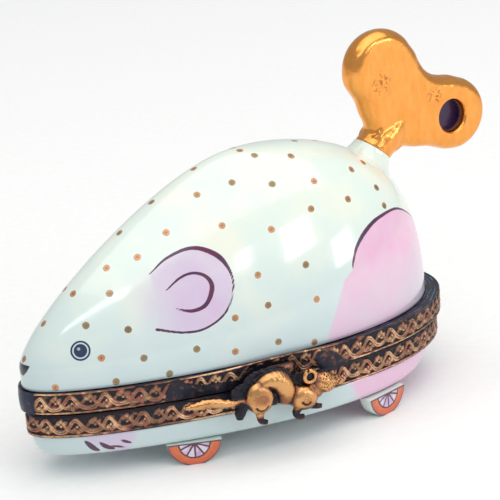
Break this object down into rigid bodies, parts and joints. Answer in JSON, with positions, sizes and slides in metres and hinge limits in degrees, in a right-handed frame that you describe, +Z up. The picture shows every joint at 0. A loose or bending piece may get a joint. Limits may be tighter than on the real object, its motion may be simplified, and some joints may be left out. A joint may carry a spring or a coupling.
{
  "type": "porcelain trinket box",
  "caption": "Hinged porcelain trinket box shaped like a clockwork mouse, with a fixed gilded key, half-wheel feet, braided brass mounts and a cast mouse clasp.",
  "frame": {"origin": "on the ground under the middle of the bounding box, key and clasp included; the mouse's own middle plane is y = 0", "axes": "-X towards the nose, +X towards the rump and key, +Y towards the hinge (the mouse's right), +Z up"},
  "size_m": [0.0946, 0.0431, 0.0611],
  "materials": {
    "base_glaze": "clear glossy glaze over white porcelain, hand painted",
    "lid_glaze": "clear glossy glaze over white porcelain, hand painted",
    "wheel_paint": "orange and white overglaze paint, glossy",
    "key_gilding": "fired gold gilding over glazed porcelain, bright, lightly scuffed",
    "base_rim_brass": "cast braid relief, antiqued with a dark patina",
    "lid_rim_brass": "cast braid relief, antiqued with a dark patina",
    "hinge_brass": "antiqued, worn bright on the barrels",
    "catch_brass": "antiqued",
    "clasp_mouse_gilt": "copper-gold casting, dark patina in the recesses",
    "cement": "plain plaster, hidden inside the rims"
  },
  "bodies": {
    "base": {"base_shell": "base_glaze", "wheel_front_left": "wheel_paint", "wheel_front_right": "wheel_paint", "wheel_rear_left": "wheel_paint", "wheel_rear_right": "wheel_paint", "base_rim": "base_rim_brass", "base_cement": "cement", "base_knuckle_front": "hinge_brass", "base_knuckle_middle": "hinge_brass", "base_knuckle_rear": "hinge_brass", "hinge_pin": "hinge_brass", "catch_stud": "catch_brass"},
    "lid": {"lid_shell": "lid_glaze", "wind_key": "key_gilding", "lid_rim": "lid_rim_brass", "lid_cement": "cement", "lid_knuckle_fore": "hinge_brass", "lid_knuckle_aft": "hinge_brass"},
    "clasp": {"clasp_spring": "catch_brass", "clasp_mouse": "clasp_mouse_gilt"}
  },
  "joints": [
    {"name": "lid_hinge", "type": "hinge", "parent": "base", "child": "lid", "pos_m": [0.0034, 0.01995, 0.0117], "axis": [-1, 0, 0], "range_deg": [0, 95]},
    {"name": "clasp_flex", "type": "hinge", "parent": "lid", "child": "clasp", "pos_m": [-0.00971, -0.01797, 0.0148], "axis": [-0.9869, 0.1615, 0], "range_deg": [0, 6], "stiffness_Nm_per_rad": 0.05}
  ]
}
